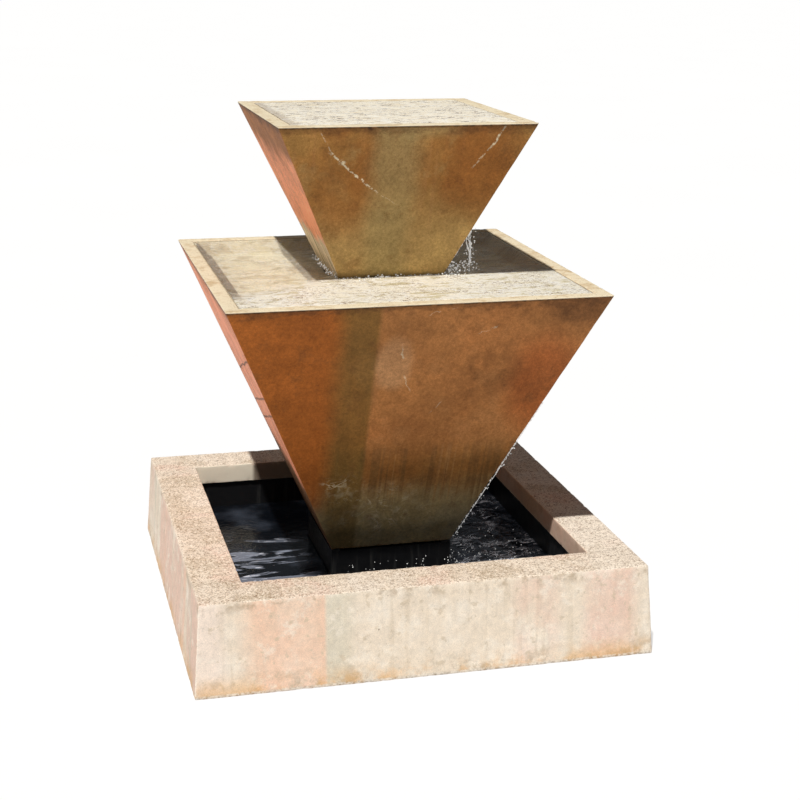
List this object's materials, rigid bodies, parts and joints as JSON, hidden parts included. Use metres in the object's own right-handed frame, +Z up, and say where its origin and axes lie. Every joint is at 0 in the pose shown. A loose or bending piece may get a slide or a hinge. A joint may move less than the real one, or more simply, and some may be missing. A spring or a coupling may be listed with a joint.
{
  "type": "tiered water fountain",
  "caption": "Square tiered garden fountain: inverted pyramid bowls stacked on a pedestal in a low square basin, with a recirculating pump inside.",
  "frame": {"origin": "centre of the basin foot on the ground", "axes": "+Z up; +X to the right and +Y to the rear, seen from the front; the pump access panel and the cord way are at the rear"},
  "size_m": [1.22, 1.22, 1.3762],
  "materials": {
    "cast_stone": "matt, granular, weathered with pink and grey stains",
    "stained_stone": "wet, rust and olive staining with pale lime runs",
    "pool_stone": "smooth, wet cream",
    "black_coating": "waterproof black paint, satin",
    "liner_rubber": "smooth, satin",
    "sealant": "matt",
    "black_plastic": "fine moulded texture",
    "grey_plastic": "satin",
    "seal_rubber": "matt",
    "white_pvc": "smooth",
    "vinyl_hose": "smooth, slightly clouded",
    "stainless_steel": "brushed",
    "ferrite": "matt",
    "shaft_ceramic": "polished"
  },
  "bodies": {
    "fountain": {"basin": "cast_stone", "basin_liner": "liner_rubber", "cord_grommet": "seal_rubber", "drain_body": "grey_plastic", "drain_gasket": "seal_rubber", "drain_nut": "grey_plastic", "hose_adapter": "grey_plastic", "hose_sleeve": "white_pvc", "lower_bowl_pad_1": "seal_rubber", "lower_bowl_pad_2": "seal_rubber", "lower_bowl_pad_3": "seal_rubber", "lower_bowl_pad_4": "seal_rubber", "lower_bowl_shell": "stained_stone", "lower_bowl_tray": "pool_stone", "lower_tray_sealant": "sealant", "outlet_fitting": "grey_plastic", "outlet_gasket": "seal_rubber", "outlet_hose_clamp": "stainless_steel", "outlet_hose_clamp_screw": "stainless_steel", "outlet_nut": "grey_plastic", "outlet_o_ring": "seal_rubber", "pedestal": "black_coating", "pump_cord_gland": "seal_rubber", "pump_foot_1": "seal_rubber", "pump_foot_2": "seal_rubber", "pump_foot_3": "seal_rubber", "pump_foot_4": "seal_rubber", "pump_hose_clamp": "stainless_steel", "pump_hose_clamp_screw": "stainless_steel", "pump_motor": "black_plastic", "pump_screw_1": "stainless_steel", "pump_screw_2": "stainless_steel", "pump_screw_3": "stainless_steel", "pump_screw_4": "stainless_steel", "pump_shaft": "shaft_ceramic", "pump_volute": "black_plastic", "riser_hose": "vinyl_hose", "shaft_bush_front": "seal_rubber", "shaft_bush_rear": "seal_rubber", "sleeve_seal": "seal_rubber", "upper_bowl_pad_1": "seal_rubber", "upper_bowl_pad_2": "seal_rubber", "upper_bowl_pad_3": "seal_rubber", "upper_bowl_pad_4": "seal_rubber", "upper_bowl_shell": "stained_stone", "upper_bowl_tray": "pool_stone", "upper_tray_sealant": "sealant"},
    "rotor": {"pump_impeller": "grey_plastic", "rotor_magnet": "ferrite"},
    "strainer": {"intake_cover": "black_plastic"},
    "flow_control": {"flow_dial": "grey_plastic", "flow_shutter": "black_plastic"},
    "drain_stopper": {"drain_plug": "seal_rubber"},
    "access_cover": {"access_panel": "black_plastic"},
    "diffuser": {"diffuser_cap": "grey_plastic"}
  },
  "joints": [
    {"name": "rotor_spin", "type": "hinge", "parent": "fountain", "child": "rotor", "pos_m": [0, 0, 0.0736], "axis": [0, 1, 0], "continuous": true},
    {"name": "strainer_pull", "type": "slide", "parent": "fountain", "child": "strainer", "axis": [0, 1, 0], "range_m": [0, 0.03]},
    {"name": "flow_dial_turn", "type": "hinge", "parent": "strainer", "child": "flow_control", "pos_m": [0, 0.05, 0.0736], "axis": [0, 1, 0], "range_deg": [0, 45]},
    {"name": "drain_plug_pull", "type": "slide", "parent": "fountain", "child": "drain_stopper", "axis": [0, 0, 1], "range_m": [0, 0.035]},
    {"name": "access_panel_pull", "type": "slide", "parent": "fountain", "child": "access_cover", "axis": [0, 1, 0], "range_m": [0, 0.05]},
    {"name": "diffuser_lift", "type": "slide", "parent": "fountain", "child": "diffuser", "axis": [0, 0, 1], "range_m": [0, 0.03]}
  ]
}
